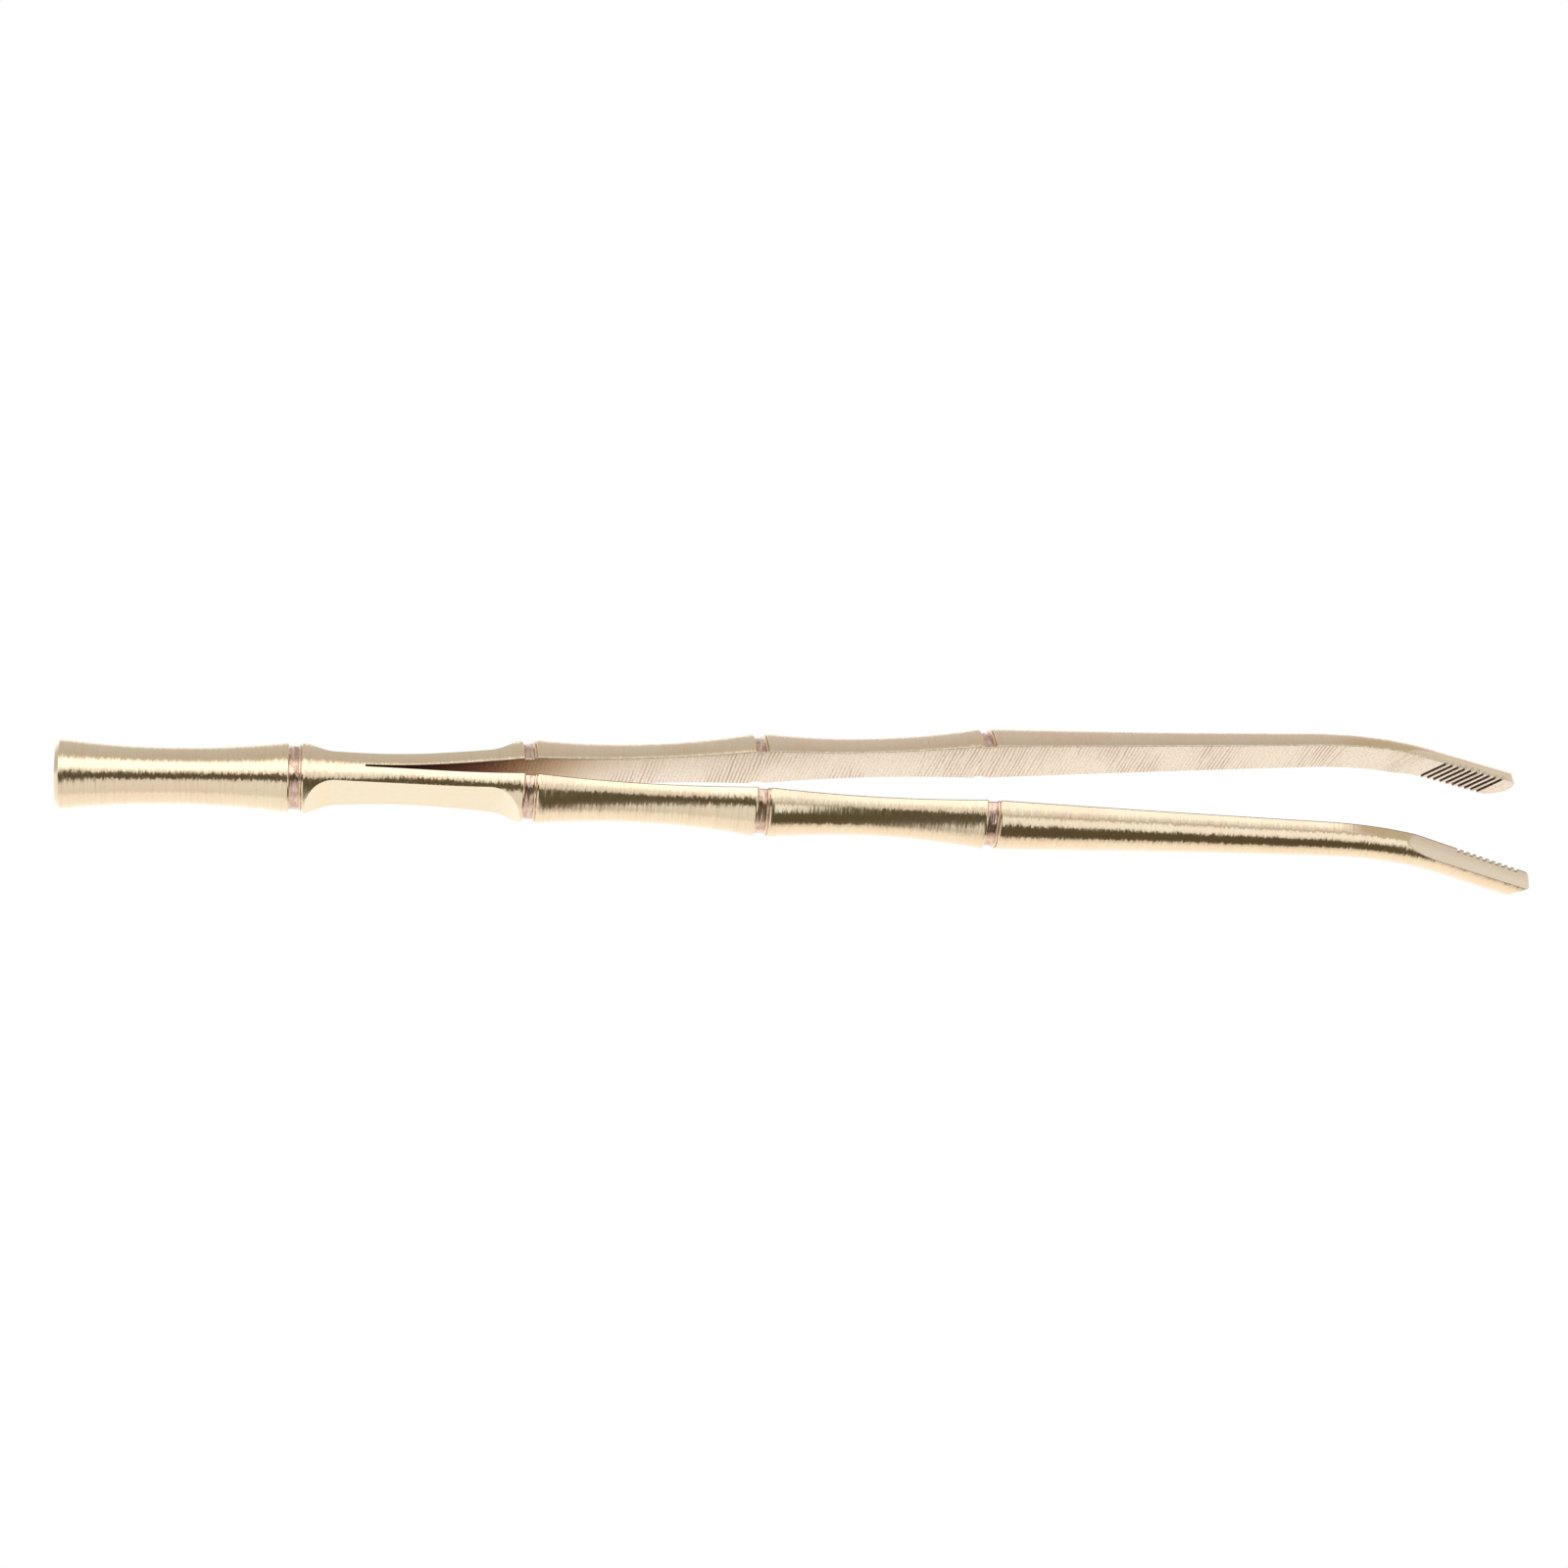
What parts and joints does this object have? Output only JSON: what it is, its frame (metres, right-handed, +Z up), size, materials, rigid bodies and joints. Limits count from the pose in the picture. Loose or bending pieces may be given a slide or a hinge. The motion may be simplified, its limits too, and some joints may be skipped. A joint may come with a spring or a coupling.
{
  "type": "spring tongs",
  "caption": "Slim brass spring tongs shaped like a bamboo cane, with a turned butt, two half-round sprung arms and serrated tips bent down edgewise.",
  "frame": {"origin": "centre of the overall box, on the surface the tongs lie on", "axes": "+X along the length from the butt to the tips, +Y across the opening towards the left arm, +Z up as the tongs lie on the rim of the butt and both bent tips"},
  "size_m": [0.1728, 0.0166, 0.0129],
  "materials": {
    "polished_brass": "polished, with fine turning marks; the sawn inner flats are matt",
    "milled_brass": "smooth milled flats, satin",
    "rose_brass": "satin, slightly rose groove floors"
  },
  "bodies": {
    "handle": {"butt_segment": "polished_brass", "butt_neck": "rose_brass", "fork_root": "polished_brass", "left_spring_leaf": "milled_brass", "right_spring_leaf": "milled_brass"},
    "left_arm": {"left_rear_neck": "rose_brass", "left_rear_segment": "polished_brass", "left_middle_neck": "rose_brass", "left_middle_segment": "polished_brass", "left_front_neck": "rose_brass", "left_front_segment": "polished_brass", "left_bend": "polished_brass", "left_serrated_tip": "polished_brass"},
    "right_arm": {"right_rear_neck": "rose_brass", "right_rear_segment": "polished_brass", "right_middle_neck": "rose_brass", "right_middle_segment": "polished_brass", "right_front_neck": "rose_brass", "right_front_segment": "polished_brass", "right_bend": "polished_brass", "right_serrated_tip": "polished_brass"}
  },
  "joints": [
    {"name": "left_arm_flex", "type": "hinge", "parent": "handle", "child": "left_arm", "pos_m": [-0.04209, 0.00145, 0.00586], "axis": [0.0426, 0, -0.9991], "range_deg": [0, 2.64], "stiffness_Nm_per_rad": 12, "deforming": ["left_spring_leaf"]},
    {"name": "right_arm_flex", "type": "hinge", "parent": "handle", "child": "right_arm", "pos_m": [-0.04209, -0.00145, 0.00586], "axis": [-0.0426, 0, 0.9991], "range_deg": [0, 2.64], "stiffness_Nm_per_rad": 12, "deforming": ["right_spring_leaf"]}
  ]
}
